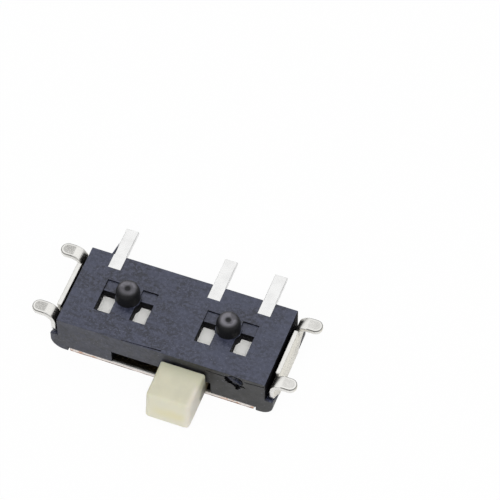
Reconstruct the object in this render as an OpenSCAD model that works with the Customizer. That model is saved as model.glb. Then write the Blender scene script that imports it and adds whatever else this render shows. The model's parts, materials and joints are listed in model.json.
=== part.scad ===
// Miniature surface-mount slide switch with one pole and two throws, lying on its cover.
// Millimetres. The origin is in the middle of the cover's outer face, +Z points out of
// the board side, +X runs along the slide and +Y points from the knob to the terminals.

/* [Housing] */
// Length of the moulded housing along the slide
body_l = 6.2; // [6:0.05:6.6]
// Width of the housing from the knob side to the terminal side
body_w = 2.65; // [2.5:0.05:2.9]
// Height from the cover's outer face to the board face
body_h = 1.4; // [1.35:0.05:1.7]
// Thickness of the floor that lies on the board
floor_t = 0.5; // [0.4:0.01:0.52]
// Thickness of the long walls
side_wall_t = 0.32; // [0.25:0.01:0.4]
// Thickness of the end walls
end_wall_t = 0.35; // [0.25:0.01:0.5]
// Radius of the cavity's upright corners
cavity_r = 0.15; // [0.05:0.01:0.3]

/* [Corner posts] */
// Height of a post above the cover's outer face
post_h = 0.65; // [0.55:0.01:0.7]
// Radius of a post's outer edge on the cover side
post_outer_r = 0.4; // [0.2:0.01:0.45]
// Gap between a post and the notch it stands in
post_gap = 0.05; // [0.03:0.01:0.08]

/* [Locating pegs] */
// Diameter of a peg
peg_d = 0.7; // [0.6:0.01:0.8]
// Length of a peg from the board face
peg_l = 0.5; // [0.4:0.05:0.8]
// Distance between the two pegs, and between the two windows
peg_pitch = 3; // [2.8:0.05:3.2]
// Place of the pegs towards the terminals
peg_y = 0.07; // [-0.1:0.01:0.2]
// Radius of the rounded edge at a peg's end
peg_end_r = 0.1; // [0.05:0.01:0.15]
// Diameter of the shallow dimple in a peg's end
dimple_d = 0.28; // [0.15:0.01:0.3]
// Depth of that dimple
dimple_depth = 0.02; // [0.01:0.005:0.04]
// Rim of the pier that carries a peg, outside the peg
pier_rim = 0.02; // [0.01:0.005:0.05]

/* [Windows] */
// Length of a window along the slide
window_l = 1.52; // [1.4:0.01:1.6]
// Width of a window
window_w = 1.07; // [0.9:0.01:1.2]
// Place of a window's middle towards the terminals
window_y = -0.075; // [-0.15:0.005:0]
// Width of the tongue that carries the peg between a window's two cells
tongue_w = 0.6; // [0.4:0.01:0.7]
// Width of the ledge along a window's terminal side
ledge_w = 0.36; // [0.2:0.01:0.45]
// Depth of that ledge below the board face
ledge_depth = 0.1; // [0.05:0.01:0.2]

/* [Gate mark] */
// Distance of the gate from the middle of the housing
gate_x = 2.23; // [2:0.01:2.5]
// Depth of the gate's middle below the board face
gate_drop = 0.26; // [0.25:0.01:0.4]
// Diameter of the dimple round the gate
gate_d = 0.44; // [0.2:0.01:0.46]
// Depth of the dimple
gate_depth = 0.07; // [0.03:0.01:0.12]

/* [Terminals] */
// Thickness of the terminal strip
strip_t = 0.15; // [0.1:0.01:0.2]
// Width of a terminal's leg
leg_w = 0.375; // [0.3:0.005:0.45]
// Distance from the common terminal to the far one
far_pitch = 3; // [2.8:0.05:3.2]
// Distance from the common terminal to the near one
near_pitch = 1.5; // [1.4:0.05:1.6]
// How far a leg reaches out past the housing
leg_reach = 0.95; // [0.6:0.05:1.3]
// Length of a leg that shows in the board face
leg_inset = 0.46; // [0.35:0.01:0.55]
// Chamfer of a leg's coined edges
leg_chamfer = 0.02; // [0.01:0.005:0.04]
// Inner radius of a terminal's bends
strip_bend_r = 0.05; // [0.02:0.01:0.06]
// Length of the common contact pad along the slide
common_pad_l = 1.24; // [1:0.01:1.3]
// Insulating gap between two pads
pad_gap = 0.1; // [0.06:0.01:0.12]
// Distance from the housing's middle to the knob side of the pads
pad_front = 0.85; // [0.75:0.01:0.9]
// Width of the arm that leads from the common leg to its pad
arm_w = 0.26; // [0.2:0.01:0.3]

/* [Cover] */
// Thickness of the cover's sheet
sheet_t = 0.15; // [0.1:0.01:0.2]
// Gap between the housing's end walls and the cover's flanges
flange_gap = 0.08; // [0.03:0.01:0.12]
// Outer radius of the bend from the plate to a flange
plate_bend_r = 0.3; // [0.22:0.01:0.4]
// Length of a corner notch along the slide, from the flange's outside
notch_l = 0.56; // [0.5:0.01:0.65]
// Width of a corner notch
notch_w = 0.56; // [0.54:0.01:0.6]
// Radius of a notch's inner corner
notch_r = 0.2; // [0.1:0.01:0.3]
// Gap between the board and a flange's edge between the feet
flange_short = 0.1; // [0.05:0.01:0.2]
// Gap between a post and the wing that hooks over it
wing_gap = 0.05; // [0.02:0.01:0.1]
// Distance of a wing's edge from the side of the housing
wing_inset = 0.085; // [0:0.005:0.1]
// Radius of a wing's free corner
wing_r = 0.2; // [0.1:0.01:0.22]
// Length of a flange's edge between the plate's bend and the slanted edge of the wing
notch_rise = 0.05; // [0.02:0.01:0.15]

/* [Feet] */
// Width of a solder foot
foot_w = 0.42; // [0.35:0.01:0.45]
// How far a foot reaches out past its flange
foot_reach = 0.6; // [0.5:0.01:0.8]
// Outer radius of the bend from a wing to its foot
foot_bend_r = 0.38; // [0.22:0.01:0.39]

/* [Slider] */
// Travel of the slider between its two positions
travel = 1.4; // [1:0.05:1.5]
// Running clearance between the slider and what guides it
slide_gap = 0.04; // [0.02:0.01:0.06]
// Length of the carriage along the slide
carriage_l = 2.4; // [2:0.1:3.4]
// Length of the neck along the slide
neck_l = 1.3; // [1.1:0.01:1.35]
// Height of the wall between the neck's slot and the housing's floor
slot_wall_h = 0.27; // [0.25:0.01:0.4]
// Gap between the neck and the ends of its slot
slot_end_gap = 0.13; // [0.05:0.01:0.2]
// Length of the knob along the slide
knob_l = 1.32; // [1:0.01:1.38]
// Height of the knob
knob_h = 0.9; // [0.6:0.01:1]
// How far the knob reaches out past the housing
knob_reach = 1.375; // [1:0.005:2]
// Gap between the knob and the housing
knob_gap = 0.05; // [0.03:0.01:0.1]
// Lean of the knob's front face, in degrees
knob_lean = 10; // [0:1:15]
// Radius of the knob's front corners
knob_r = 0.12; // [0.05:0.01:0.3]
// Radius of the edges along the knob's top
knob_edge_r = 0.08; // [0.02:0.01:0.2]

/* [Moving contact] */
// Thickness of the contact leaf
leaf_t = 0.06; // [0.04:0.01:0.08]
// Room for the contact leaf between the carriage and the pads
leaf_room = 0.22; // [0.2:0.01:0.26]
// Distance between the leaf's two contact points
contact_span = 1.5; // [1.4:0.01:1.6]
// Length of the leaf's flat base along the slide
leaf_base_l = 0.6; // [0.5:0.01:0.7]
// Width of one of the leaf's fingers
finger_w = 0.28; // [0.2:0.01:0.35]
// Slot between two fingers
finger_slot = 0.16; // [0.1:0.01:0.25]
// Outer radius of a finger's rounded tip
tip_r = 0.15; // [0.12:0.01:0.17]
// Gap left between the tips and the pads
contact_gap = 0.02; // [0.01:0.005:0.03]
// Distance from the housing's middle to the leaf's middle, towards the knob
leaf_front = 0.3; // [0.2:0.01:0.4]
// Diameter of the stud that holds the leaf
stud_d = 0.3; // [0.2:0.01:0.35]
// Height of that stud above the carriage
stud_h = 0.13; // [0.08:0.01:0.16]

/* [Hidden] */
$fn = 64;
eps = 0.01;

// Places of the faces that several pieces share
floor_z = body_h - floor_t;
slot_top_z = floor_z - slot_wall_h;
cavity_l = body_l - 2 * end_wall_t;
cavity_w = body_w - 2 * side_wall_t;
flange_x = body_l / 2 + flange_gap + sheet_t;
flange_w = body_w - 2 * notch_w;
wing_y = body_w / 2 - wing_inset;
notch_z = plate_bend_r + notch_rise;
wing_slope = atan2(post_h + wing_gap - notch_z, wing_y - flange_w / 2);
slot_l = travel + neck_l + 2 * slot_end_gap;
rest_x = travel / 2;

// Places of the terminals
common_x = (far_pitch - near_pitch) / 2;
leg_bend_y = body_w / 2 - leg_inset;
strip_outer_r = strip_bend_r + strip_t;
pad_z = floor_z + strip_t;
pad_back_y = leg_bend_y - strip_outer_r - strip_bend_r;
arm_y = pad_back_y - arm_w;

// Places of the windows' cells
cell_l = (window_l - tongue_w) / 2;
cell_x = (tongue_w + cell_l) / 2;
window_front_y = window_y - window_w / 2;

// Copies a shape that is drawn at the +X +Y corner to all four corners
module at_corners() {
    for (side_x = [0, 1], side_y = [0, 1])
        mirror([side_x, 0, 0]) mirror([0, side_y, 0]) children();
}

// Ring of a bent strip between two angles less than 180 degrees apart, in 2D
module bend_arc(outer_r, thickness, from_a, to_a) {
    steps = 3;
    reach = 2 * outer_r;
    angles = [for (i = [0:steps]) from_a + (to_a - from_a) * i / steps];
    intersection() {
        difference() {
            circle(outer_r);
            circle(outer_r - thickness);
        }
        polygon(concat([[0, 0]], [for (angle = angles) reach * [cos(angle), sin(angle)]]));
    }
}

// Stands an outline drawn in X and Z upright, and makes it deep along Y about the middle
module along_y(depth) {
    rotate([90, 0, 0]) linear_extrude(depth, center = true) children();
}

// Stands an outline drawn in Y and Z upright, and makes it long along X about the middle
module along_x(length) {
    rotate([90, 0, 90]) linear_extrude(length, center = true) children();
}

// Post that stands in a corner notch of the cover, with its outer edge rounded off and its
// outer part cut along the wing's slanted edge
module corner_post() {
    inner_x = flange_x - notch_l + post_gap;
    inner_y = flange_w / 2 + post_gap;
    inner_r = notch_r - post_gap;
    low_z = notch_z - wing_gap / cos(wing_slope);
    high_z = low_z + (body_w - flange_w) / 2 * tan(wing_slope);
    intersection() {
        linear_extrude(post_h) difference() {
            translate([inner_x, inner_y]) square([flange_x - inner_x, body_w / 2 - inner_y]);
            translate([inner_x, inner_y]) difference() {
                square(inner_r);
                translate([inner_r, inner_r]) circle(inner_r);
            }
        }
        along_y(2 * body_w) {
            square([flange_x - post_outer_r, post_h]);
            translate([0, post_outer_r]) square([flange_x, post_h - post_outer_r]);
            translate([flange_x - post_outer_r, post_outer_r]) circle(post_outer_r);
        }
        union() {
            cube([body_l / 2, body_w / 2, post_h]);
            along_x(2 * flange_x)
                polygon([[0, 0], [body_w / 2, 0], [body_w / 2, high_z], [flange_w / 2, low_z], [0, low_z]]);
        }
    }
}

// Locating peg with a rounded and dimpled end, rooted in the housing's floor
module peg() {
    top_z = body_h + peg_l;
    flat_r = peg_d / 2 - peg_end_r;
    dimple_r = (dimple_d * dimple_d / 4 + dimple_depth * dimple_depth) / (2 * dimple_depth);
    difference() {
        rotate_extrude() {
            translate([0, pad_z]) square([peg_d / 2, top_z - peg_end_r - pad_z]);
            translate([0, pad_z]) square([flat_r, top_z - pad_z]);
            translate([flat_r, top_z - peg_end_r]) circle(peg_end_r);
        }
        translate([0, 0, top_z - dimple_depth + dimple_r]) sphere(dimple_r);
    }
}

// Pier with flat sides below a peg, which the window's two cells leave standing
module pier() {
    sides = 12;
    corner_r = (peg_d / 2 + pier_rim) / cos(180 / sides);
    linear_extrude(body_h) rotate(180 / sides) circle(corner_r, $fn = sides);
}

// Cavity that the slider runs in, open towards the cover
module cavity() {
    translate([0, 0, sheet_t - eps]) linear_extrude(floor_z - sheet_t + eps) {
        square([cavity_l - 2 * cavity_r, cavity_w], center = true);
        square([cavity_l, cavity_w - 2 * cavity_r], center = true);
        at_corners() translate([cavity_l / 2 - cavity_r, cavity_w / 2 - cavity_r]) circle(cavity_r);
    }
}

// Slot for the slider's neck in the wall on the knob side
module neck_slot() {
    translate([-slot_l / 2, -body_w / 2 - eps, sheet_t - eps])
        cube([slot_l, side_wall_t + 2 * eps, slot_top_z - sheet_t + eps]);
}

// Two cells of a window: each is a ledge, and in front of it a hole down to the pads
module window() {
    for (side = [-1, 1]) translate([side * cell_x - cell_l / 2, window_front_y, 0]) {
        translate([0, 0, pad_z]) cube([cell_l, window_w - ledge_w, floor_t]);
        translate([0, 0, body_h - ledge_depth]) cube([cell_l, window_w, floor_t]);
    }
}

// Dimple of the moulding gate, with the broken gate in its middle
module gate_dimple() {
    vestige_d = gate_d / 3;
    translate([gate_x, -body_w / 2, body_h - gate_drop]) rotate([-90, 0, 0]) difference() {
        translate([0, 0, -eps]) cylinder(h = gate_depth + eps, d = gate_d);
        cylinder(h = gate_depth, d1 = vestige_d / 2, d2 = vestige_d);
    }
}

module housing() {
    color("#42444e") {
        difference() {
            union() {
                translate([-body_l / 2, -body_w / 2, sheet_t]) cube([body_l, body_w, body_h - sheet_t]);
                at_corners() corner_post();
            }
            cavity();
            neck_slot();
            for (side = [-1, 1]) translate([side * peg_pitch / 2, 0, 0]) difference() {
                window();
                translate([0, peg_y, 0]) pier();
            }
            gate_dimple();
            far_terminal(-1);
            far_terminal(1);
            common_terminal();
        }
        for (side = [-1, 1]) translate([side * peg_pitch / 2, peg_y, 0]) peg();
    }
}

// Flat plate of the cover, with a round inner corner in each of its four notches
module cover_plate() {
    notch_x = flange_x - notch_l;
    linear_extrude(sheet_t) {
        square([2 * notch_x, body_w], center = true);
        square([2 * (flange_x - plate_bend_r), flange_w], center = true);
        at_corners() translate([notch_x, flange_w / 2]) difference() {
            square(notch_r);
            translate([notch_r, notch_r]) circle(notch_r);
        }
    }
}

// Flange that is folded up from the plate's end, with the strip of plate that it grows out of
module cover_flange() {
    along_y(flange_w) {
        square([flange_x - plate_bend_r, sheet_t]);
        translate([flange_x - plate_bend_r, plate_bend_r]) bend_arc(plate_bend_r, sheet_t, -90, 0);
        translate([flange_x - sheet_t, plate_bend_r]) square([sheet_t, body_h - flange_short - plate_bend_r]);
    }
}

// Wing beside the flange that hooks over a post with a slanted edge and carries a foot
module cover_wing() {
    foot_z = body_h - foot_bend_r;
    corner_y = wing_y - wing_r;
    corner_z = notch_z + (wing_r + (corner_y - flange_w / 2) * sin(wing_slope)) / cos(wing_slope);
    corner = [corner_y, corner_z];
    translate([flange_x - sheet_t / 2, 0, 0]) along_x(sheet_t) {
        polygon([
            [0, notch_z], [flange_w / 2, notch_z], corner + wing_r * [sin(wing_slope), -cos(wing_slope)],
            corner, [wing_y, corner_z], [wing_y, foot_z], [0, foot_z]]);
        translate(corner) circle(wing_r);
    }
}

// Solder foot that is folded outwards from a wing, with a full round end
module cover_foot() {
    root_z = post_h + wing_gap + wing_r;
    bend_z = body_h - foot_bend_r;
    bend_x = flange_x - sheet_t + foot_bend_r;
    tip_x = flange_x + foot_reach - foot_w / 2;
    translate([0, wing_y - foot_w / 2, 0]) {
        along_y(foot_w) {
            translate([flange_x - sheet_t, root_z]) square([sheet_t, bend_z - root_z]);
            translate([bend_x, bend_z]) bend_arc(foot_bend_r, sheet_t, 90, 180);
            translate([bend_x, body_h - sheet_t]) square([tip_x - bend_x, sheet_t]);
        }
        translate([tip_x, 0, body_h - sheet_t]) cylinder(h = sheet_t, d = foot_w);
    }
}

module cover() {
    color("#d9d8d4") {
        cover_plate();
        for (side = [0, 1]) mirror([side, 0, 0]) cover_flange();
        at_corners() cover_wing();
        at_corners() cover_foot();
    }
}

// Rectangle with its four corners coined off, drawn from the origin
module coined(width, height) {
    polygon([
        [leg_chamfer, 0], [width - leg_chamfer, 0], [width, leg_chamfer], [width, height - leg_chamfer],
        [width - leg_chamfer, height], [leg_chamfer, height], [0, height - leg_chamfer], [0, leg_chamfer]]);
}

// Strip of a terminal in the housing, drawn in Y and Z: along the board face, then bent down to the pads
module strip_outline() {
    translate([leg_bend_y, body_h - strip_t]) square([leg_inset, strip_t]);
    translate([leg_bend_y, body_h - strip_outer_r]) bend_arc(strip_outer_r, strip_t, 90, 180);
    translate([leg_bend_y - strip_outer_r, pad_z + strip_bend_r])
        square([strip_t, body_h - strip_outer_r - pad_z - strip_bend_r]);
    translate([pad_back_y, pad_z + strip_bend_r]) bend_arc(strip_outer_r, strip_t, -90, 0);
    translate([arm_y, floor_z]) square([arm_w, strip_t]);
}

// Strip of a terminal, with the leg outside the housing that has coined edges
module terminal_leg() {
    leg_l = leg_inset + leg_reach;
    along_x(leg_w) strip_outline();
    translate([0, leg_bend_y, body_h - strip_t]) intersection() {
        translate([-leg_w / 2, 0, 0]) cube([leg_w, leg_l, strip_t]);
        along_x(leg_w) translate([-leg_l, 0]) coined(2 * leg_l, strip_t);
        along_y(2 * leg_l) translate([-leg_w / 2, 0]) coined(leg_w, strip_t);
    }
}

// Far or near terminal, with the pad that shows through its window; side is -1 or 1
module far_terminal(side) {
    outer_x = common_x + near_pitch + leg_w / 2;
    inner_x = common_pad_l / 2 + pad_gap;
    translate([side * (outer_x - leg_w / 2), 0, 0]) terminal_leg();
    mirror([side < 0 ? 1 : 0, 0, 0]) translate([0, 0, floor_z]) linear_extrude(strip_t) {
        translate([inner_x, -pad_front]) square([outer_x - inner_x, pad_front + arm_y - pad_gap]);
        translate([outer_x - leg_w, -pad_front]) square([leg_w, pad_front + pad_back_y]);
    }
}

// Middle terminal, whose pad lies between the other two
module common_terminal() {
    translate([common_x, 0, 0]) terminal_leg();
    translate([0, 0, floor_z]) linear_extrude(strip_t) {
        translate([-common_pad_l / 2, -pad_front]) square([common_pad_l, pad_front + pad_back_y]);
        translate([0, arm_y]) square([common_x + leg_w / 2, arm_w]);
    }
}

module terminal_left() {
    color("#ececea") far_terminal(-1);
}

module terminal_common() {
    color("#ececea") common_terminal();
}

module terminal_right() {
    color("#ececea") far_terminal(1);
}

// Side outline of the knob in Y and Z from its lower edge: a leaning front and a rounded edge over it
module knob_side(root_y, front_y) {
    arc_z = knob_h - knob_edge_r;
    arc_y = front_y + arc_z * tan(knob_lean) + knob_edge_r / cos(knob_lean);
    polygon([
        [front_y, 0], [arc_y, arc_z] + knob_edge_r * [-cos(knob_lean), sin(knob_lean)], [arc_y, arc_z],
        [arc_y, knob_h], [root_y, knob_h], [root_y, 0]]);
    translate([arc_y, arc_z]) circle(knob_edge_r);
}

// Part of the slider outside the housing, with rounded edges and front corners
module knob() {
    root_y = -body_w / 2 - knob_gap;
    front_y = -body_w / 2 - knob_reach;
    low_z = sheet_t + slide_gap;
    intersection() {
        translate([0, 0, low_z]) along_x(knob_l) knob_side(root_y, front_y);
        translate([0, (root_y + front_y) / 2, low_z]) along_y(root_y - front_y) {
            translate([-knob_l / 2, 0]) square([knob_l, knob_h - knob_edge_r]);
            translate([knob_edge_r - knob_l / 2, 0]) square([knob_l - 2 * knob_edge_r, knob_h]);
            for (side = [-1, 1])
                translate([side * (knob_l / 2 - knob_edge_r), knob_h - knob_edge_r]) circle(knob_edge_r);
        }
        translate([0, front_y, low_z]) rotate([-knob_lean, 0, 0]) linear_extrude(4 * knob_h, center = true) {
            translate([-knob_l / 2, knob_r]) square([knob_l, 2 * knob_reach]);
            translate([knob_r - knob_l / 2, 0]) square([knob_l - 2 * knob_r, knob_r]);
            for (side = [-1, 1]) translate([side * (knob_l / 2 - knob_r), knob_r]) circle(knob_r);
        }
    }
}

// One moulding: carriage in the cavity, neck through the slot and knob outside
module slider() {
    low_z = sheet_t + slide_gap;
    neck_h = slot_top_z - slide_gap - low_z;
    carriage_w = cavity_w - 2 * slide_gap;
    carriage_z = floor_z - leaf_room;
    neck_y = -body_w / 2 - 2 * knob_gap;
    color("#d2cebd") translate([rest_x, 0, 0]) {
        translate([-carriage_l / 2, -carriage_w / 2, low_z])
            cube([carriage_l, carriage_w, carriage_z - low_z]);
        translate([-neck_l / 2, neck_y, low_z]) cube([neck_l, -neck_y, neck_h]);
        translate([0, -leaf_front, carriage_z]) cylinder(h = stud_h, d = stud_d);
        knob();
    }
}

// Half of the leaf's outline in X and Z: flat base, rising arm and rounded tip
module leaf_outline() {
    base_z = floor_z - leaf_room;
    tip_x = contact_span / 2;
    tip_z = floor_z - contact_gap - tip_r;
    inner_r = tip_r - leaf_t;
    run = tip_x - leaf_base_l / 2;
    rise = tip_z - base_z;
    arm_a = atan2(rise, run) + asin(inner_r / norm([run, rise]));
    arm_l = sqrt(run * run + rise * rise - inner_r * inner_r);
    translate([0, base_z]) square([leaf_base_l / 2, leaf_t]);
    translate([tip_x, tip_z]) {
        rotate(arm_a) translate([-arm_l, inner_r]) square([arm_l, leaf_t]);
        bend_arc(tip_r, leaf_t, 0, 90 + arm_a);
    }
}

// Bridging leaf of the slider: a base on the stud and two pairs of sprung fingers
module moving_contact() {
    leaf_w = 2 * finger_w + finger_slot;
    base_z = floor_z - leaf_room;
    color("#d9b36c") translate([rest_x, -leaf_front, 0]) difference() {
        union() {
            for (side = [0, 1], finger_y = [-finger_w - finger_slot, finger_w + finger_slot] / 2)
                mirror([side, 0, 0]) translate([0, finger_y, 0]) along_y(finger_w) leaf_outline();
            translate([-leaf_base_l / 2, -leaf_w / 2, base_z]) cube([leaf_base_l, leaf_w, leaf_t]);
        }
        translate([0, 0, base_z - eps]) cylinder(h = leaf_t + 2 * eps, d = stud_d + slide_gap);
    }
}

housing();
cover();
terminal_left();
terminal_common();
terminal_right();
slider();
moving_contact();
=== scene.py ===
"""Looks of the slide switch: rounded pieces, procedural materials, white stage and fitted camera."""

import json
import math

import bmesh
import bpy
from mathutils import Matrix, Vector, noise


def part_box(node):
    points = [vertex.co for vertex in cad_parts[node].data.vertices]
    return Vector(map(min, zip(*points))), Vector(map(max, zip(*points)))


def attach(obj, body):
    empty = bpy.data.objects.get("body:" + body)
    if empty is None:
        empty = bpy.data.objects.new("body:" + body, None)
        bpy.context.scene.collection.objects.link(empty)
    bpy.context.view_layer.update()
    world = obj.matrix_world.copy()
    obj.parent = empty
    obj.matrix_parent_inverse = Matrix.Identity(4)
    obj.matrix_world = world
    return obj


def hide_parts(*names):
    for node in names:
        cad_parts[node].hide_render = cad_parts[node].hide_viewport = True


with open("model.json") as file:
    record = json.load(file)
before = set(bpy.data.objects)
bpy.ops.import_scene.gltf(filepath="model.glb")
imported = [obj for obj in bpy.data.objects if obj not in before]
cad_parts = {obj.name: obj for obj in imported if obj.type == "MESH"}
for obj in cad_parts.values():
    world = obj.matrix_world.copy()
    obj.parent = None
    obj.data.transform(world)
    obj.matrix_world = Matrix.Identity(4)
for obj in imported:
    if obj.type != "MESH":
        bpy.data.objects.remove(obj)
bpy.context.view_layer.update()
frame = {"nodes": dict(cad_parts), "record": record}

MM = 0.001
PHOTO_PX = 500
SEED = 7

# Camera that was fitted to the photograph, in the part's frame
FOCAL_PX = 3000.5
CAMERA_MM = Vector((18.749, -42.806, 70.636))
VIEW_RIGHT = Vector((0.935095, 0.354364, -0.004915))
VIEW_UP = Vector((-0.286822, 0.764864, 0.576815))

# Nearest and farthest place that the camera shows, in mm
CLIP_MM = (1, 1000)

# Dark lens behind the camera, which only glossy faces mirror
DARK_WAY = Vector((0.208, -0.538, 0.817))
DARK_INNER = math.cos(math.radians(14))
DARK_OUTER = math.cos(math.radians(44))
DARK_LEVEL = 0.25

# Dimmer lower rim of the tent, as it is mirrored and as it lights
RIM_TOP = math.sin(math.radians(32))
RIM_LEVEL = 0.2
RIM_LEVEL_SOFT = 0.85

# Soft light near the top of the tent, and the level of the tent round it, which glossy faces don't mirror
TOP_WAY = Vector((0.15, -0.38, 0.91))
TOP_START = math.cos(math.radians(32))
TOP_LEVEL = 3.5
TENT_LEVEL = 0.58

# Share of the floor's white that isn't shaded, where it is seen and where it is mirrored
GLOW_SHARE = 0.96
MIRRORED_SHARE = 0.3

# Floor: half its length and how far it lies below the cover, in mm, and its paper's colour
FLOOR_HALF_MM = 200
FLOOR_DROP_MM = 0.001
PAPER = (0.93, 0.93, 0.93, 1)

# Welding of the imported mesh's shortest edges, in mm
WELD_MM = {
    "housing": 0.006,
    "cover": 0.002,
    "terminal_left": 0.009,
    "terminal_common": 0.009,
    "terminal_right": 0.009,
    "slider": 0.003,
    "moving_contact": 0.01,
}
TINY_M = 1e-7
FLAT_ANGLE = math.radians(1.5)
SHARP_ANGLE = math.radians(35)

# Rounding of the edges, in mm
EDGE_SEGMENTS = 3
EDGE_MM = {
    "housing": 0.018,
    "cover": 0.04,
    "terminal_left": 0.006,
    "terminal_common": 0.006,
    "terminal_right": 0.006,
    "moving_contact": 0.006,
}
WINDOW_EDGE_MM = 0.01
BOARD_FRONT_EDGE_MM = 0.05

# Half length and half width of the housing's middle part, whose edges are rounded like the windows'
WINDOW_REACH_MM = (2.6, 1.2)

# Numbers of the housing's further finishes: near-black painted shade, and the pegs
DARK = 1
PEG = 2

# Height of a normal above which a face lies flat, and below which it stands upright
FLAT_UP = 0.9
UPRIGHT_UP = 0.5

# Softening of the moulded slider
VOXEL_MM = 0.02
SOFT_PASSES = 36
SOFT_FACTOR = 0.5

# How near to a face a corner counts as on it, in mm, and the tolerance of a cut, in m
TINY_MM = 0.004
CUT_M = 2e-6

# Faces of the case, in mm
FRONT_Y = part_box("housing")[0].y / MM
PEG_END_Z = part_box("housing")[1].z / MM
BOARD_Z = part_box("terminal_left")[1].z / MM

# The knob's part from here on is softened, and its root stays sharp
SOFT_FROM_Y = FRONT_Y - 0.10

# Locating pegs: their place and radius, how much they draw in, and where their walls end
PEG_MOUNT = frame["record"]["mounts"][1]
PEG_X, PEG_Y = (place / MM for place in PEG_MOUNT["pos_m"][:2])
PEG_R = PEG_MOUNT["dims"]["r_mm"]
PEG_DRAFT = 0.04
PEG_CAD_WALL_TOP = PEG_END_Z - 0.1
PEG_WALL_TOP = PEG_END_Z - 0.18

# Rings of a peg's end from its wall to its dimple, each a radius and a height
PEG_END_RINGS = (
    (0.331, PEG_END_Z - 0.115),
    (0.315, PEG_END_Z - 0.068),
    (0.289, PEG_END_Z - 0.034),
    (0.257, PEG_END_Z - 0.013),
    (0.223, PEG_END_Z - 0.003),
    (0.185, PEG_END_Z),
    (0.152, PEG_END_Z - 0.005),
    (0.120, PEG_END_Z - 0.020),
    (0.084, PEG_END_Z - 0.036),
    (0.042, PEG_END_Z - 0.047),
)
PEG_DIMPLE_Z = PEG_END_Z - 0.050

# Height of the windows' ledges in the solids and as seen, and half the width of the strip that holds them
LEDGE_CAD_Z = BOARD_Z - 0.1
LEDGE_Z = BOARD_Z - 0.05
LEDGE_SPAN_MM = 0.7

# Half length, half width and top of the room inside the housing, in mm
INSIDE_MM = (2.9, 1.27, 1.1)

# Feet of the cover in mm: top, seam of bend and round end, width inside the sides, middle of the round end
FOOT_TOP_MM = BOARD_Z - 0.02
SEAM_MM = (3.506, 3.56)
FOOT_SPAN_MM = (0.83, 1.23)
FOOT_Y_MM = 1.03
FOOT_TIP_MM = 3.72

# Torn mark of the moulding gate on the front wall, with its tail and the stub in it
TEAR_MM = Vector((2.20, FRONT_Y, 1.11))
TEAR_HALF_MM = Vector((0.30, 0.13, 0.20))
TEAR_ROUGH = 0.5
TAIL_MM = Vector((2.30, FRONT_Y, 0.90))
TAIL_HALF_MM = Vector((0.08, 0.07, 0.12))
TAIL_ROUGH = 0.7
TAIL_SEED = SEED + 9
STUB_MM = Vector((2.24, FRONT_Y + 0.06, 1.14))
STUB_HALF_MM = Vector((0.19, 0.07, 0.055))
STUB_ROUGH = 1.0
STUB_SEED = SEED + 4

# Fineness of the torn lumps, their turn, their coarse and fine bumps a radius, and the fine ones' share
TEAR_DETAIL = 5
TEAR_TURN = math.radians(30)
COARSE_BUMPS = 1.7
FINE_BUMPS = 5.0
FINE_SHARE = 0.5

# Parting lines of the mould, each from one point to another, and their width
LINES_MM = (
    (Vector((1.38, FRONT_Y, 1.235)), Vector((1.93, FRONT_Y, 1.222))),
    (Vector((2.50, FRONT_Y, 1.235)), Vector((3.09, FRONT_Y, 1.29))),
    (Vector((-1.16, FRONT_Y + 0.014, BOARD_Z - 0.014)), Vector((0.02, FRONT_Y + 0.060, BOARD_Z))),
)
LINE_W_MM = 0.025

# Small shift of the cutters, which keeps their corners off the wall's own plane
OFF_WALL_MM = 0.0031

# Thin flash of plastic beside the far terminal
FLASH_GAP_MM = 0.004
FLASH_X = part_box("terminal_left")[0].x / MM - FLASH_GAP_MM
FLASH_L_MM = 0.40
FLASH_W_MM = 0.055
FLASH_H_MM = 0.10
FLASH_SINK_MM = 0.01


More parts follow.
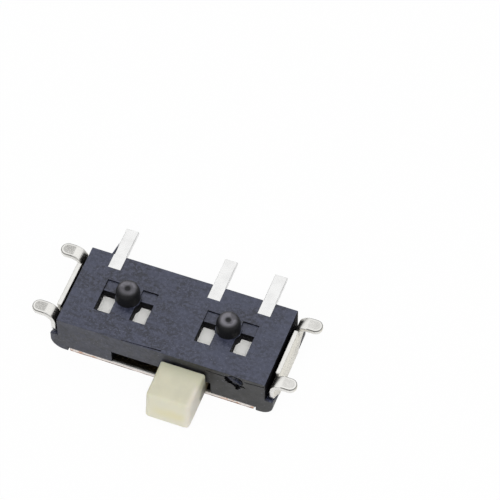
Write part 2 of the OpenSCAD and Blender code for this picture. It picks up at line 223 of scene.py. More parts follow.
class Nodes:
    """Short way to add shader nodes to one material or world and to link them."""

    def __init__(self, owner):
        owner.use_nodes = True
        self.tree = owner.node_tree
        self.tree.nodes.clear()

    def add(self, kind, **inputs):
        node = self.tree.nodes.new("ShaderNode" + kind)
        for name, value in inputs.items():
            self.feed(node, name, value)
        return node

    def feed(self, node, name, value):
        socket = node.inputs[name if isinstance(name, int) else name.replace("_", " ")]
        if isinstance(value, bpy.types.NodeSocket):
            self.tree.links.new(value, socket)
        else:
            socket.default_value = value

    def math(self, operation, *values):
        node = self.add("Math")
        node.operation = operation
        for index, value in enumerate(values):
            self.feed(node, index, value)
        return node.outputs[0]

    def product(self, first, *others):
        """Product of two or more values."""
        for other in others:
            first = self.math("MULTIPLY", first, other)
        return first

    def size(self, value):
        """Value without its sign."""
        return self.math("ABSOLUTE", value)

    def vector(self, operation, *values):
        node = self.add("VectorMath")
        node.operation = operation
        for index, value in enumerate(values):
            self.feed(node, index, value)
        return node.outputs[1 if operation == "DOT_PRODUCT" else 0]

    def place(self):
        """Place on the piece, in mm in the part's frame."""
        spot = self.add("TexCoord").outputs["Object"]
        return self.vector("MULTIPLY", spot, (1 / MM, 1 / MM, 1 / MM))

    def axes(self, spot):
        return self.add("SeparateXYZ", Vector=spot).outputs

    def noise(self, spot, scale, detail=2.0, roughness=0.5, distortion=0.0):
        """Noise from 0 to 1, of a scale in features per mm."""
        node = self.add("TexNoise", Vector=spot, Scale=scale, Detail=detail,
                        Roughness=roughness, Distortion=distortion)
        return node.outputs[0]

    def length(self, first, second):
        """Length of a flat vector of two parts."""
        squares = self.product(first, first), self.product(second, second)
        return self.math("SQRT", self.math("ADD", *squares))

    def ramp(self, value, start, end, first=0.0, last=1.0):
        """Smooth step of a value between two limits."""
        node = self.add("MapRange")
        node.interpolation_type = "SMOOTHSTEP"
        for index, number in enumerate((value, start, end, first, last)):
            self.feed(node, index, number)
        return node.outputs[0]

    def mix(self, share, first, second):
        """Blend of two colours."""
        node = self.add("Mix")
        node.data_type = "RGBA"
        self.feed(node, 0, share)
        for index, colour in ((6, first), (7, second)):
            self.feed(node, index, (*colour, 1) if isinstance(colour, tuple) else colour)
        return node.outputs[2]

    def bump(self, height, distance_mm, strength=1.0, below=None):
        node = self.add("Bump", Strength=strength, Distance=distance_mm * MM, Height=height)
        if below is not None:
            self.feed(node, "Normal", below)
        return node.outputs[0]

    def surface(self, shader):
        self.feed(self.add("OutputMaterial"), "Surface", shader.outputs[0])


def look_at_photo():
    """Camera at the photograph's place and angle, with no shift."""
    camera = bpy.data.objects.new("photo_camera", bpy.data.cameras.new("photo_camera"))
    bpy.context.scene.collection.objects.link(camera)
    axes = Matrix((VIEW_RIGHT, VIEW_UP, VIEW_RIGHT.cross(VIEW_UP))).transposed()
    camera.matrix_world = Matrix.Translation(CAMERA_MM * MM) @ axes.to_4x4()
    camera.data.lens = FOCAL_PX / PHOTO_PX * camera.data.sensor_width
    camera.data.clip_start, camera.data.clip_end = (limit * MM for limit in CLIP_MM)
    bpy.context.scene.camera = camera


def white_world():
    """White tent with a dimmer rim, a soft top light, and the dark lens that glossy faces mirror."""
    world = bpy.data.worlds.new("white_tent")
    bpy.context.scene.world = world
    nodes = Nodes(world)
    way = nodes.add("TexCoord").outputs["Generated"]
    rays = nodes.add("LightPath").outputs
    glossy = rays["Is Glossy Ray"]
    lens_level = nodes.ramp(glossy, 0.0, 1.0, 1.0, DARK_LEVEL)
    rim_level = nodes.ramp(glossy, 0.0, 1.0, RIM_LEVEL_SOFT, RIM_LEVEL)
    tent_level = nodes.ramp(glossy, 0.0, 1.0, TENT_LEVEL, 1.0)
    top_level = nodes.ramp(glossy, 0.0, 1.0, TOP_LEVEL, 1.0)
    from_lens = nodes.vector("DOT_PRODUCT", way, tuple(DARK_WAY.normalized()))
    from_top = nodes.vector("DOT_PRODUCT", way, tuple(TOP_WAY.normalized()))
    lens = nodes.ramp(from_lens, DARK_OUTER, DARK_INNER, 1.0, lens_level)
    rim = nodes.ramp(nodes.axes(way)[2], 0.0, RIM_TOP, rim_level, 1.0)
    top = nodes.ramp(from_top, TOP_START, 1.0, tent_level, top_level)
    level = nodes.ramp(rays["Is Camera Ray"], 0.0, 1.0, nodes.product(lens, rim, top), 1.0)
    tent = nodes.add("Background", Color=(1, 1, 1, 1), Strength=level)
    nodes.feed(nodes.add("OutputWorld"), "Surface", tent.outputs[0])


def floor_paper():
    """White paper that is seen nearly white, and keeps a faint shadow."""
    material = bpy.data.materials.new("floor_paper")
    nodes = Nodes(material)
    rays = nodes.add("LightPath").outputs
    mirrored = nodes.product(rays["Is Glossy Ray"], MIRRORED_SHARE)
    seen = nodes.product(rays["Is Camera Ray"], GLOW_SHARE)
    share = nodes.math("MAXIMUM", seen, mirrored)
    paper = nodes.add("BsdfDiffuse", Color=PAPER)
    glow = nodes.add("Emission", Color=(1, 1, 1, 1), Strength=1.0)
    mix = nodes.add("MixShader", Fac=share)
    nodes.feed(mix, 1, paper.outputs[0])
    nodes.feed(mix, 2, glow.outputs[0])
    nodes.surface(mix)
    return material


def white_floor():
    """Wide white floor under the cover."""
    half = FLOOR_HALF_MM * MM
    drop = -FLOOR_DROP_MM * MM
    mesh = bpy.data.meshes.new("floor")
    corners = [(-half, -half, drop), (half, -half, drop), (half, half, drop), (-half, half, drop)]
    mesh.from_pydata(corners, [], [(0, 1, 2, 3)])
    mesh.materials.append(floor_paper())
    floor = bpy.data.objects.new("floor", mesh)
    bpy.context.scene.collection.objects.link(floor)


# Colours of the housing, with the painted shade of its upright walls, and where along it that painted shade
# deepens towards +x
FLOW_DARK = (0.003, 0.005, 0.017)
FLOW_PALE = (0.027, 0.032, 0.064)
GRAIN_PALE = (0.052, 0.058, 0.098)
BROAD_PALE = (0.046, 0.056, 0.100)
WALL_SHADE_DARK = (0.002, 0.002, 0.002)
WALL_SHADE_PALE = (0.016, 0.016, 0.019)
SPECK = (0.14, 0.15, 0.20)
WALL_SHADE_X = (-0.6, 1.6)
WALL_SHADE_SHARES = (0.42, 1.0)


def housing_plastic():
    """Dark blue-grey moulded plastic with faint flow marks, a fine grain and pale specks, and painted shade
    on its upright walls.
    """
    material = bpy.data.materials.new("housing_plastic")
    nodes = Nodes(material)
    spot = nodes.place()
    broad = nodes.noise(spot, 0.55, 2.0, 0.5, 0.8)
    flow = nodes.noise(nodes.vector("MULTIPLY", spot, (0.7, 1.6, 1.0)), 1.6, 4.0, 0.6, 1.6)
    cloud = nodes.noise(spot, 4.0, 3.0, 0.6)
    grain = nodes.noise(spot, 10.0, 4.0, 0.75)
    fine = nodes.noise(spot, 30.0, 3.0, 0.7)
    flowing = nodes.mix(nodes.ramp(flow, 0.36, 0.64), FLOW_DARK, FLOW_PALE)
    mottled = nodes.mix(nodes.ramp(grain, 0.43, 0.63), flowing, GRAIN_PALE)
    tinted = nodes.mix(nodes.ramp(broad, 0.40, 0.62, 0.0, 0.3), mottled, BROAD_PALE)
    # Painted shade: upright walls take a darker colour, more so towards +x
    upright = nodes.ramp(nodes.axes(nodes.add("NewGeometry").outputs["Normal"])[2], 0.7, 0.4)
    wall_shade = nodes.product(upright, nodes.ramp(nodes.axes(spot)[0], *WALL_SHADE_X, *WALL_SHADE_SHARES))
    wall = nodes.mix(nodes.ramp(grain, 0.40, 0.64), WALL_SHADE_DARK, WALL_SHADE_PALE)
    wall_shaded = nodes.mix(wall_shade, tinted, wall)
    speck = nodes.ramp(nodes.noise(spot, 17.0, 1.0, 0.5), 0.68, 0.76)
    colour = nodes.mix(nodes.product(speck, 0.5), wall_shaded, SPECK)
    rough = nodes.math("ADD", nodes.ramp(cloud, 0.3, 0.7, 0.34, 0.46), nodes.ramp(grain, 0.3, 0.7, 0.0, 0.10))
    waves = nodes.bump(flow, 0.010, 0.5)
    pits = nodes.bump(grain, 0.004, 0.6, waves)
    shader = nodes.add("BsdfPrincipled", Base_Color=colour, Roughness=rough, IOR=1.65)
    nodes.feed(shader, "Normal", nodes.bump(fine, 0.0014, 0.6, pits))
    nodes.surface(shader)
    return material


# Colours of the near-black painted shade in the windows, inside the housing, in the parting lines and in the
# torn gate mark, and of the pegs
SHADE_AND_TORN_DARK = (0.003, 0.003, 0.004)
SHADE_AND_TORN_PALE = (0.008, 0.008, 0.011)
PEG_SHADE = (0.005, 0.005, 0.006)
PEG_HIGHLIGHT = (0.19, 0.185, 0.21)


def shade_and_torn_plastic():
    """The housing's plastic, near black and hardly mottled, as painted shade on the windows' walls, inside
    the housing, in the parting lines and in the torn gate mark's hollow.
    """
    material = bpy.data.materials.new("shade_and_torn_plastic")
    nodes = Nodes(material)
    spot = nodes.place()
    cloud = nodes.noise(spot, 5.0, 3.0, 0.6)
    grain = nodes.noise(spot, 22.0, 3.0, 0.7)
    colour = nodes.mix(nodes.ramp(cloud, 0.35, 0.7), SHADE_AND_TORN_DARK, SHADE_AND_TORN_PALE)
    rough = nodes.ramp(grain, 0.3, 0.7, 0.55, 0.75)
    shader = nodes.add("BsdfPrincipled", Base_Color=colour, Roughness=rough, IOR=1.15)
    nodes.feed(shader, "Normal", nodes.bump(grain, 0.004, 0.6))
    nodes.surface(shader)
    return material


# Painted highlight ring round a peg's dimple: its inner and outer limits from the axis, and its height
PEG_HIGHLIGHT_INNER_MM = (0.05, 0.13)
PEG_HIGHLIGHT_OUTER_MM = (0.30, 0.17)
PEG_HIGHLIGHT_Z = (PEG_END_Z - 0.09, PEG_END_Z - 0.03)


def peg_plastic():
    """The housing's plastic on the pegs: near black as painted shade, with a painted highlight ring round the
    dimple.
    """
    material = bpy.data.materials.new("peg_plastic")
    nodes = Nodes(material)
    spot = nodes.place()
    x, y, z = nodes.axes(spot)
    grain = nodes.noise(spot, 22.0, 3.0, 0.7)
    across = nodes.math("SUBTRACT", nodes.size(x), PEG_X)
    reach = nodes.length(across, nodes.math("SUBTRACT", y, PEG_Y))
    ring = nodes.product(nodes.ramp(reach, *PEG_HIGHLIGHT_INNER_MM), nodes.ramp(reach, *PEG_HIGHLIGHT_OUTER_MM))
    patches = nodes.ramp(nodes.noise(spot, 3.0, 2.0, 0.5), 0.42, 0.58, 0.5, 1.0)
    end = nodes.ramp(z, *PEG_HIGHLIGHT_Z)
    # Painted shade over the whole peg, and a painted highlight in patches round the dimple
    colour = nodes.mix(nodes.product(ring, patches, end), PEG_SHADE, PEG_HIGHLIGHT)
    rough = nodes.ramp(grain, 0.3, 0.7, 0.40, 0.60)
    shader = nodes.add("BsdfPrincipled", Base_Color=colour, Roughness=rough, IOR=1.38)
    nodes.feed(shader, "Normal", nodes.bump(grain, 0.003, 0.5))
    nodes.surface(shader)
    return material


# Colours of the cover's sheet, with its painted shade
PLATED = (0.87, 0.86, 0.83)
PLATED_BLOTCH = (0.79, 0.78, 0.75)
FLANGE_SHADE = (0.79, 0.765, 0.69)
SHEARED = (0.95, 0.88, 0.84)
COPPER = (0.72, 0.33, 0.16)
GROOVE_BROWN = (0.10, 0.06, 0.04)
BOTTOM_SHADE = (0.22, 0.18, 0.15)
PLATE_INSIDE_SHADE = (0.09, 0.075, 0.05)
PRESSED_GREY_AND_SHADE = (0.32, 0.315, 0.30)
TIP_EDGE_SHADE = (0.10, 0.10, 0.09)

# Where the marks and the painted shade on the cover begin and end, in mm: heights, places along the slide and
# the rest
SHEARED_Z = (0.16, 0.11)
COPPER_X = (1.5, 2.1)
GROOVE_LOW_Z = (0.026, 0.036)
GROOVE_TOP_Z = (0.078, 0.068)
BOTTOM_SHADE_Z = (0.016, 0.006)
PLATE_IN_Z = (0.2, 0.15)
PLATE_IN_Y = (1.27, 1.22)
FOOT_OUT_X = (3.49, 3.55)
FOOT_FLAT_Z = (1.34, 1.36)
PRESSED_MM = (0.150, 0.125)
TIP_EDGE_INNER_MM = (0.174, 0.184)
TIP_EDGE_OUTER_MM = (0.206, 0.198)


def cover_metal():
    """Bright plated sheet: rolled grain, blotches, pressed foot tips and bare copper on sheared edges, with
    painted shade on the flanges, inside, along the bottom, at the feet's edges and more on the feet at -x.
    """
    material = bpy.data.materials.new("cover_metal")
    nodes = Nodes(material)
    spot = nodes.place()
    x, y, z = nodes.axes(spot)
    normal_x, normal_y, normal_z = nodes.axes(nodes.add("NewGeometry").outputs["Normal"])
    blotch = nodes.noise(spot, 2.6, 3.0, 0.6)
    rolled = nodes.noise(nodes.vector("MULTIPLY", spot, (1.0, 9.0, 9.0)), 5.0, 4.0, 0.65)
    fine = nodes.noise(spot, 48.0, 3.0, 0.7)
    plate = nodes.mix(nodes.ramp(blotch, 0.35, 0.7), PLATED, PLATED_BLOTCH)
    # Painted shade: faces turned to +x and -x take a darker, warmer colour
    flange_shade = nodes.ramp(nodes.size(normal_x), 0.6, 0.9)
    plate = nodes.mix(flange_shade, plate, FLANGE_SHADE)
    side = nodes.ramp(nodes.size(normal_y), 0.6, 0.9)
    sheared = sheared_edge(nodes, plate, side, spot)
    # Painted shade on the plate's upper face inside the housing
    facing_in = nodes.product(nodes.ramp(normal_z, 0.8, 0.95), nodes.ramp(z, *PLATE_IN_Z))
    plate_inside_shade = nodes.product(facing_in, nodes.ramp(nodes.size(y), *PLATE_IN_Y))
    inner = nodes.mix(plate_inside_shade, sheared, PLATE_INSIDE_SHADE)
    tip = nodes.math("MAXIMUM", nodes.math("SUBTRACT", nodes.size(x), FOOT_TIP_MM), 0.0)
    reach = nodes.length(tip, nodes.math("SUBTRACT", nodes.size(y), FOOT_Y_MM))
    flat = nodes.product(nodes.ramp(z, *FOOT_FLAT_Z), nodes.ramp(nodes.size(x), *FOOT_OUT_X))
    # Pressed foot tips are greyer; the grey is stronger on the feet at -x, which is painted shade
    pressed_and_shade = nodes.product(flat, nodes.ramp(reach, *PRESSED_MM), nodes.ramp(x, -1.0, 1.0, 1.0, 0.45))
    worn = nodes.ramp(fine, 0.35, 0.65, 0.15, 1.0)
    dull = nodes.mix(nodes.product(pressed_and_shade, worn), inner, PRESSED_GREY_AND_SHADE)
    # Painted shade: a dark line just inside the edge of each foot's round end
    tip_edge = nodes.product(nodes.ramp(reach, *TIP_EDGE_INNER_MM), nodes.ramp(reach, *TIP_EDGE_OUTER_MM))
    colour = nodes.mix(nodes.product(tip_edge, flat, 0.75), dull, TIP_EDGE_SHADE)
    rough = nodes.math("ADD", nodes.ramp(rolled, 0.3, 0.7, 0.24, 0.36), nodes.product(pressed_and_shade, 0.14))
    shader = nodes.add("BsdfPrincipled", Base_Color=colour, Roughness=rough, Metallic=1.0)
    grain = nodes.bump(rolled, 0.0010, 0.5)
    rough_press = nodes.bump(nodes.product(fine, pressed_and_shade), 0.004, 0.7, grain)
    nodes.feed(shader, "Normal", nodes.bump(blotch, 0.006, 0.4, rough_press))
    nodes.surface(shader)
    return material


def sheared_edge(nodes, plate, side, spot):
    """Colour of the cover with the pink, coppery and grooved low edge on its long sides, and a painted shadow
    line along their bottom.
    """
    x, y, z = nodes.axes(spot)
    low_side = nodes.product(side, nodes.ramp(z, *SHEARED_Z))
    flattened = nodes.vector("MULTIPLY", spot, (1.0, 1.0, 3.0))
    torn = nodes.ramp(nodes.noise(flattened, 3.0, 3.0, 0.7), 0.46, 0.60)
    bare = nodes.product(low_side, torn, nodes.ramp(nodes.size(x), *COPPER_X))
    coppered = nodes.mix(bare, nodes.mix(low_side, plate, SHEARED), COPPER)
    dashes = nodes.noise(nodes.vector("MULTIPLY", spot, (1.0, 1.0, 9.0)), 2.2, 2.0, 0.6)
    groove = nodes.product(nodes.ramp(z, *GROOVE_LOW_Z), nodes.ramp(z, *GROOVE_TOP_Z), side)
    dashed = nodes.product(groove, nodes.ramp(dashes, 0.42, 0.50), 0.9)
    grooved = nodes.mix(dashed, coppered, GROOVE_BROWN)
    # Painted shadow along the bottom of the long sides
    bottom_shade = nodes.product(nodes.ramp(z, *BOTTOM_SHADE_Z), side, 0.6)
    return nodes.mix(bottom_shade, grooved, BOTTOM_SHADE)


# Colours of the terminals, with the paler colour of their pads that paints light into the windows, and the
# height below which their pads lie inside
SILVER = (0.90, 0.90, 0.895)
SILVER_CLOUD = (0.84, 0.84, 0.835)
PAD_LIT_PALE = (0.97, 0.965, 0.94)
PAD_Z = (1.20, 1.10)


def terminal_metal():
    """Satin silver plating with faint long scratches, duller and paler on the pads inside, where the paler
    colour is painted light.
    """
    material = bpy.data.materials.new("terminal_metal")
    nodes = Nodes(material)
    spot = nodes.place()
    cloud = nodes.noise(spot, 4.0, 3.0, 0.6)
    scratch = nodes.noise(nodes.vector("MULTIPLY", spot, (14.0, 1.0, 14.0)), 3.0, 4.0, 0.7)
    fine = nodes.noise(spot, 60.0, 2.0, 0.6)
    inside = nodes.ramp(nodes.axes(spot)[2], *PAD_Z)
    plated = nodes.mix(nodes.ramp(cloud, 0.35, 0.7), SILVER, SILVER_CLOUD)
    # Painted light: the pads inside are paler than the legs
    colour = nodes.mix(inside, plated, PAD_LIT_PALE)
    rough = nodes.math("ADD", nodes.ramp(cloud, 0.3, 0.7, 0.20, 0.28), nodes.product(inside, 0.2))
    metallic = nodes.ramp(inside, 0.0, 1.0, 1.0, 0.0)
    shader = nodes.add("BsdfPrincipled", Base_Color=colour, Roughness=rough, Metallic=metallic)
    lines = nodes.bump(scratch, 0.0006, 0.4)
    nodes.feed(shader, "Normal", nodes.bump(fine, 0.0008, 0.4, lines))
    nodes.surface(shader)
    return material


# Colours of the slider, with its painted shade and painted light
CREAM = (0.67, 0.65, 0.505)
CREAM_CLOUD = (0.63, 0.61, 0.475)
ROOT_SHADE = (0.57, 0.565, 0.425)
FRONT_LIT = (0.755, 0.73, 0.585)
BAND_YELLOW = (0.74, 0.685, 0.435)
RIGHT_PINK = (0.79, 0.74, 0.66)
ROOT_MARK = (0.11, 0.105, 0.08)
SLIDER_INSIDE_SHADE = (0.16, 0.13, 0.075)

# Where the tints, the painted shade and the painted light on the knob begin and end, in mm
ROOT_SHADE_Y = (-1.85, -1.40)
KNOB_LIT_FRONT_Y = (-2.44, -2.62)
BAND_LOW_Z = (0.56, 0.80)
BAND_TOP_Z = (1.10, 0.80)
BAND_LEFT_X = (0.05, 0.60)
BAND_RIGHT_X = (1.36, 1.05)
RIGHT_X = (1.16, 1.32)
RIGHT_Y = (-1.7, -2.0)
MARK_X = (1.18, 1.26)
MARK_Y = (-1.90, -1.70)
MARK_Z = (0.72, 0.48)
INSIDE_SHADE_Y = (FRONT_Y - 0.04, FRONT_Y - 0.02)


def slider_plastic():
    """Cream moulded plastic, slightly translucent, with painted shade by the root and inside the slot, and
    painted light at the front.
    """
    material = bpy.data.materials.new("slider_plastic")
    nodes = Nodes(material)
    spot = nodes.place()
    x, y, z = nodes.axes(spot)
    cloud = nodes.noise(spot, 3.0, 3.0, 0.6)
    grain = nodes.noise(spot, 40.0, 3.0, 0.6)
    cream = nodes.mix(nodes.ramp(cloud, 0.35, 0.7), CREAM, CREAM_CLOUD)
    # Painted shade: greener and darker by the knob's root
    root_shaded = nodes.mix(nodes.ramp(y, *ROOT_SHADE_Y), cream, ROOT_SHADE)
    # Painted light: paler at the knob's front
    lit_front = nodes.ramp(y, *KNOB_LIT_FRONT_Y)
    front_lit_colour = nodes.mix(lit_front, root_shaded, FRONT_LIT)
    wavy = nodes.math("ADD", z, nodes.product(nodes.noise(spot, 1.6, 3.0, 0.6), 0.5))
    above = nodes.product(nodes.ramp(wavy, *BAND_LOW_Z), nodes.ramp(wavy, *BAND_TOP_Z))
    along = nodes.product(nodes.ramp(x, *BAND_LEFT_X), nodes.ramp(x, *BAND_RIGHT_X))
    banded = nodes.mix(nodes.product(above, lit_front, along, 0.7), front_lit_colour, BAND_YELLOW)
    right = nodes.product(nodes.ramp(x, *RIGHT_X), nodes.ramp(y, *RIGHT_Y), 0.7)
    pinker = nodes.mix(right, banded, RIGHT_PINK)
    marked_right = nodes.mix(root_mark(nodes, spot), pinker, ROOT_MARK)
    # Painted shade: dark brown on the slider behind the front wall, inside the slot
    colour = nodes.mix(nodes.ramp(y, *INSIDE_SHADE_Y), marked_right, SLIDER_INSIDE_SHADE)
    rough = nodes.ramp(cloud, 0.3, 0.7, 0.34, 0.44)
    shader = nodes.add("BsdfPrincipled", Base_Color=colour, Roughness=rough, IOR=1.5)
    shader.inputs["Subsurface Weight"].default_value = 0.3
    shader.inputs["Subsurface Radius"].default_value = (1.0, 0.8, 0.5)
    shader.inputs["Subsurface Scale"].default_value = 0.25 * MM
    waves = nodes.bump(cloud, 0.006, 0.3)
    nodes.feed(shader, "Normal", nodes.bump(grain, 0.0010, 0.4, waves))
    nodes.surface(shader)
    return material


def root_mark(nodes, spot):
    """Share of the dark patch low on the knob's right side, by its root."""
    x, y, z = nodes.axes(spot)
    edge_wobble = nodes.product(nodes.math("SUBTRACT", nodes.noise(spot, 2.4, 2.0, 0.5), 0.5), 0.7)
    near_root = nodes.ramp(nodes.math("ADD", y, edge_wobble), *MARK_Y)
    low = nodes.ramp(nodes.math("ADD", z, edge_wobble), *MARK_Z)
    return nodes.product(near_root, low, nodes.ramp(x, *MARK_X), 0.85)


# Colours of the moving contact's strip
BRASS = (0.78, 0.57, 0.30)
BRASS_DARK = (0.68, 0.48, 0.24)


def contact_metal():
    """Thin rolled spring strip."""
    material = bpy.data.materials.new("contact_metal")
    nodes = Nodes(material)
    spot = nodes.place()
    rolled = nodes.noise(nodes.vector("MULTIPLY", spot, (1.0, 10.0, 10.0)), 5.0, 4.0, 0.65)
    colour = nodes.mix(rolled, BRASS, BRASS_DARK)
    rough = nodes.ramp(rolled, 0.3, 0.7, 0.24, 0.36)
    shader = nodes.add("BsdfPrincipled", Base_Color=colour, Roughness=rough, Metallic=1.0)
    nodes.feed(shader, "Normal", nodes.bump(rolled, 0.0008, 0.4))
    nodes.surface(shader)
    return material


def cleaned(node):
    """Copy of a CAD node's mesh as a bmesh, with its shortest edges welded and its flat faces joined."""
    work = bmesh.new()
    work.from_mesh(frame["nodes"][node].data)
    bmesh.ops.remove_doubles(work, verts=work.verts, dist=WELD_MM[node] * MM)
    bmesh.ops.dissolve_degenerate(work, dist=TINY_M, edges=work.edges)
    bmesh.ops.dissolve_limit(work, angle_limit=FLAT_ANGLE, verts=work.verts, edges=work.edges)
    return work


def foot_tops(work):
    """Upper faces of the cover's feet."""
    return [face for face in work.faces
            if face.normal.z > FLAT_UP and face.calc_center_median().z > FOOT_TOP_MM * MM]


def mend_feet(work):
    """Takes out the hair-thin step where a foot's round end meets its bend."""
    inner = []
    for vert in work.verts:
        x, y, z = (abs(part) / MM for part in vert.co)
        between = SEAM_MM[0] < x < SEAM_MM[1] + TINY_MM and FOOT_SPAN_MM[0] < y < FOOT_SPAN_MM[1]
        if between and z > FOOT_TOP_MM:
            inner.append(vert)
    bmesh.ops.dissolve_verts(work, verts=inner)
    for side in (-1, 1):
        for seam in SEAM_MM:
            faces = foot_tops(work)
            edges = list({edge for face in faces for edge in face.edges})
            verts = list({vert for face in faces for vert in face.verts})
            bmesh.ops.bisect_plane(work, geom=faces + edges + verts, dist=CUT_M,
                                   plane_co=(side * seam * MM, 0, 0), plane_no=(1, 0, 0))


def from_peg(x, y):
    """Distance of a point from the nearer peg's axis, in mm."""
    return math.hypot(abs(x) - PEG_X, y - PEG_Y)


def round_peg(work, side):
    """Takes the end off a peg and builds it rounder, with a deeper dimple."""
    axis = Vector((side * PEG_X, PEG_Y, 0))
    near = [vert for vert in work.verts
            if vert.co.x * side > 0 and from_peg(*(vert.co / MM).xy) < PEG_R + TINY_MM]
    rim = [vert for vert in near if abs(vert.co.z / MM - PEG_CAD_WALL_TOP) < TINY_MM]
    top = [vert for vert in near if vert.co.z / MM > PEG_CAD_WALL_TOP + TINY_MM]
    bmesh.ops.delete(work, geom=top, context="VERTS")
    rim.sort(key=lambda vert: math.atan2(vert.co.y / MM - axis.y, vert.co.x / MM - axis.x))
    for vert in rim:
        vert.co.z = PEG_WALL_TOP * MM
    ways = [((vert.co / MM - axis).xy.normalized()).to_3d() for vert in rim]
    for radius, height in PEG_END_RINGS:
        ring = [work.verts.new((axis + way * radius + Vector((0, 0, height))) * MM) for way in ways]
        for place in range(len(ring)):
            work.faces.new((rim[place - 1], rim[place], ring[place], ring[place - 1]))
        rim = ring
    middle = work.verts.new((axis + Vector((0, 0, PEG_DIMPLE_Z))) * MM)
    for place in range(len(rim)):
        work.faces.new((rim[place - 1], rim[place], middle))


def shape_windows(work):
    """Raises the windows' ledges to the seen depth, rounds the pegs and draws them in towards their ends."""
    for side in (-1, 1):
        round_peg(work, side)
    work.normal_update()
    for vert in work.verts:
        x, y, z = vert.co / MM
        if abs(y) < LEDGE_SPAN_MM and abs(z - LEDGE_CAD_Z) < TINY_MM:
            vert.co.z = LEDGE_Z * MM
        side = math.copysign(PEG_X, x)
        if z > BOARD_Z + TINY_MM and from_peg(x, y) < PEG_R + TINY_MM:
            share = (z - BOARD_Z) / (PEG_END_Z - BOARD_Z)
            draw = 1 - PEG_DRAFT * share
            vert.co.x = (side + (x - side) * draw) * MM
            vert.co.y = (PEG_Y + (y - PEG_Y) * draw) * MM


def edge_width(node, edge):
    """Rounding of one sharp outer edge, in mm."""
    width = EDGE_MM[node]
    middle = (edge.verts[0].co + edge.verts[1].co) / 2 / MM
    if node == "housing" and abs(middle.x) < WINDOW_REACH_MM[0] and abs(middle.y) < WINDOW_REACH_MM[1]:
        width = WINDOW_EDGE_MM
    if node == "housing" and middle.y < FRONT_Y + TINY_MM and middle.z > BOARD_Z - TINY_MM:
        width = BOARD_FRONT_EDGE_MM
    return width


def weigh_edges(work, node):
    """Gives the sharp outer edges the weight of their rounding, and keeps the inner ones sharp."""
    weight = work.edges.layers.float.new("bevel_weight_edge")
    for edge in work.edges:
        turn = edge.calc_face_angle_signed(0.0)
        if turn > SHARP_ANGLE:
            edge[weight] = edge_width(node, edge) / EDGE_MM[node]
        elif turn < -SHARP_ANGLE:
            edge.smooth = False


def shade_smooth(work):
    """Shades the faces of a bmesh smoothly."""
    for face in work.faces:
        face.smooth = True


def placed(name, work, body, slot, *nodes):
    """Object of a finished bmesh, which rides a body and stands for CAD nodes."""
    mesh = bpy.data.meshes.new(name)
    work.to_mesh(mesh)
    work.free()
    for material in MATERIALS[slot]:
        mesh.materials.append(material)
    piece = bpy.data.objects.new(name, mesh)
    bpy.context.scene.collection.objects.link(piece)
    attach(piece, body)
    if nodes:
        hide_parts(*nodes)
    return piece


def finish_faces(work):
    """Gives the housing's faces painted shade on the windows' walls and inside, and their finish on the pegs.
    """
    for face in work.faces:
        x, y, z = face.calc_center_median() / MM
        if z > BOARD_Z + TINY_MM and from_peg(x, y) < PEG_R + TINY_MM:
            face.material_index = PEG
        # Painted shade: the windows' upright walls and the faces inside the housing take the near-black
        # plastic
        elif abs(y) < LEDGE_SPAN_MM and z < BOARD_Z - TINY_MM and abs(face.normal.z) < UPRIGHT_UP:
            face.material_index = DARK
        elif abs(y) < INSIDE_MM[1] and abs(x) < INSIDE_MM[0] and z < INSIDE_MM[2]:
            face.material_index = DARK


def torn_lump(middle, half, seed, rough):
    """Closed lump with a torn surface, longest along the tear, as a bmesh."""
    work = bmesh.new()
    bmesh.ops.create_icosphere(work, subdivisions=TEAR_DETAIL, radius=1.0)
    turn = Matrix.Rotation(TEAR_TURN, 3, "Y")
    offset = Vector((seed, 2 * seed, 3 * seed))
    for vert in work.verts:
        coarse = noise.noise(vert.co * COARSE_BUMPS + offset)
        fine = noise.noise(vert.co * FINE_BUMPS + offset)
        spot = vert.co * (1 + rough * (coarse + FINE_SHARE * fine))
        spot = Vector((spot.x * half.x, spot.y * half.y, spot.z * half.z))
        vert.co = (middle + turn @ spot) * MM
    return work


def add_bar(work, start, end, width):
    """Adds a thin square bar between two points to a bmesh."""
    along = (end - start).normalized()
    side = along.cross(Vector((0, 1, 1))).normalized()
    third = along.cross(side)
    matrix = Matrix((along * (end - start).length, side * width, third * width)).transposed().to_4x4()
    matrix.translation = (start + end) / 2
    bmesh.ops.create_cube(work, size=1.0, matrix=Matrix.Scale(MM, 4) @ matrix)


def scratch(name, work):
    """Object of a bmesh with the housing's finishes, which only serves to work out another shape."""
    mesh = bpy.data.meshes.new(name)
    work.to_mesh(mesh)
    work.free()
    for material in MATERIALS["housing_plastic"]:
        mesh.materials.append(material)
    item = bpy.data.objects.new(name, mesh)
    bpy.context.scene.collection.objects.link(item)
    return item


def applied(source):
    """Bmesh of a scratch object with its modifiers applied."""
    view = bpy.context.evaluated_depsgraph_get()
    result = bmesh.new()
    result.from_mesh(source.evaluated_get(view).to_mesh())
    return result


def dropped(item):
    """Takes a scratch object and its mesh out again."""
    mesh = item.data
    bpy.data.objects.remove(item)
    bpy.data.meshes.remove(mesh)


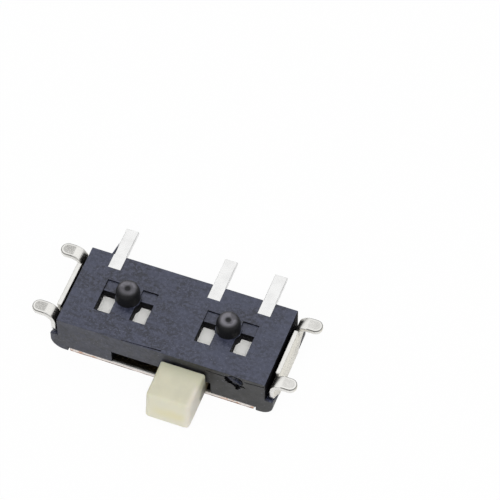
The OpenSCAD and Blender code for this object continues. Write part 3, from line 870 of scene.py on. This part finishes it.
def marked(work):
    """The housing with rounded edges, its torn gate mark and its parting lines, as a bmesh."""
    source = scratch("housing_source", work)
    round_edges(source, "housing")
    lines = bmesh.new()
    for start, end in LINES_MM:
        add_bar(lines, start, end, LINE_W_MM)
    shapes = {
        "tear": torn_lump(TEAR_MM, TEAR_HALF_MM, SEED, TEAR_ROUGH),
        "tail": torn_lump(TAIL_MM, TAIL_HALF_MM, TAIL_SEED, TAIL_ROUGH),
        "lines": lines,
    }
    cutters = []
    for name, shape in shapes.items():
        bmesh.ops.translate(shape, verts=shape.verts, vec=Vector((0, OFF_WALL_MM * MM, 0)))
        # The cut faces take the near-black plastic: painted shade in the parting lines and in the torn mark
        for face in shape.faces:
            face.material_index = DARK
        cutters.append(scratch(name, shape))
        cut = source.modifiers.new(name, "BOOLEAN")
        cut.operation = "DIFFERENCE"
        cut.solver = "EXACT"
        cut.object = cutters[-1]
    result = applied(source)
    for item in cutters + [source]:
        dropped(item)
    return result


def gate_stub(body, slot):
    """Torn remains of the moulding gate in its mark."""
    work = torn_lump(STUB_MM, STUB_HALF_MM, STUB_SEED, STUB_ROUGH)
    shade_smooth(work)
    return placed("gate_stub", work, body, slot)


def flash_sliver(body, slot):
    """Thin pointed flash of plastic on the housing's back, along the far terminal's leg."""
    work = bmesh.new()
    back = -FRONT_Y
    low, top = BOARD_Z - FLASH_H_MM, BOARD_Z
    base = [(FLASH_X, low), (FLASH_X - FLASH_W_MM, low), (FLASH_X - FLASH_W_MM, top), (FLASH_X, top)]
    ring = [work.verts.new(Vector((x, back - FLASH_SINK_MM, z)) * MM) for x, z in base]
    tip = work.verts.new(Vector((FLASH_X, back + FLASH_L_MM, top)) * MM)
    work.faces.new(reversed(ring))
    for first, second in zip(ring, ring[1:] + ring[:1]):
        work.faces.new((first, second, tip))
    bmesh.ops.recalc_face_normals(work, faces=work.faces)
    return placed("flash_sliver", work, body, slot)


def round_edges(piece, node):
    """Rounds the weighted edges of a piece."""
    bevel = piece.modifiers.new("edges", "BEVEL")
    bevel.width = EDGE_MM[node] * MM
    bevel.segments = EDGE_SEGMENTS
    bevel.limit_method = "WEIGHT"
    bevel.use_clamp_overlap = False
    bevel.harden_normals = True


def rounded(node, body, slot):
    """Piece of a CAD node's own shape with rounded outer edges."""
    work = cleaned(node)
    if node == "cover":
        mend_feet(work)
    if node == "housing":
        shape_windows(work)
        finish_faces(work)
    weigh_edges(work, node)
    shade_smooth(work)
    if node == "housing":
        piece = placed(node + "_piece", marked(work), body, slot, node)
        normals = piece.modifiers.new("normals", "WEIGHTED_NORMAL")
        normals.keep_sharp = True
        return piece
    piece = placed(node + "_piece", work, body, slot, node)
    round_edges(piece, node)
    return piece


def remeshed(work, voxel):
    """Closed grid mesh of the same shape as a bmesh."""
    source = scratch("remesh_source", work)
    grid = source.modifiers.new("grid", "REMESH")
    grid.mode = "VOXEL"
    grid.voxel_size = voxel
    result = applied(source)
    dropped(source)
    return result


def soft_slider(body, slot):
    """Slider whose knob has the soft edges of the moulding, apart from its sharp root."""
    work = remeshed(cleaned("slider"), VOXEL_MM * MM)
    knob = [vert for vert in work.verts if vert.co.y / MM < SOFT_FROM_Y]
    for _ in range(SOFT_PASSES):
        bmesh.ops.smooth_vert(work, verts=knob, factor=SOFT_FACTOR,
                              use_axis_x=True, use_axis_y=True, use_axis_z=True)
    shade_smooth(work)
    return placed("slider_piece", work, body, slot, "slider")


bpy.context.scene.view_settings.view_transform = "Standard"
look_at_photo()
white_world()
white_floor()
MATERIALS = {
    "housing_plastic": (housing_plastic(), shade_and_torn_plastic(), peg_plastic()),
    "cover_metal": (cover_metal(),),
    "terminal_metal": (terminal_metal(),),
    "slider_plastic": (slider_plastic(),),
    "contact_metal": (contact_metal(),),
}
slots = {part["node"]: part["material_slot"] for part in frame["record"]["subparts"]}
for body, members in frame["record"]["behaviour"]["bodies"].items():
    for node in members:
        if node == "slider":
            soft_slider(body, slots[node])
        else:
            rounded(node, body, slots[node])

gate_stub("case", "housing_plastic")
flash_sliver("case", "housing_plastic")
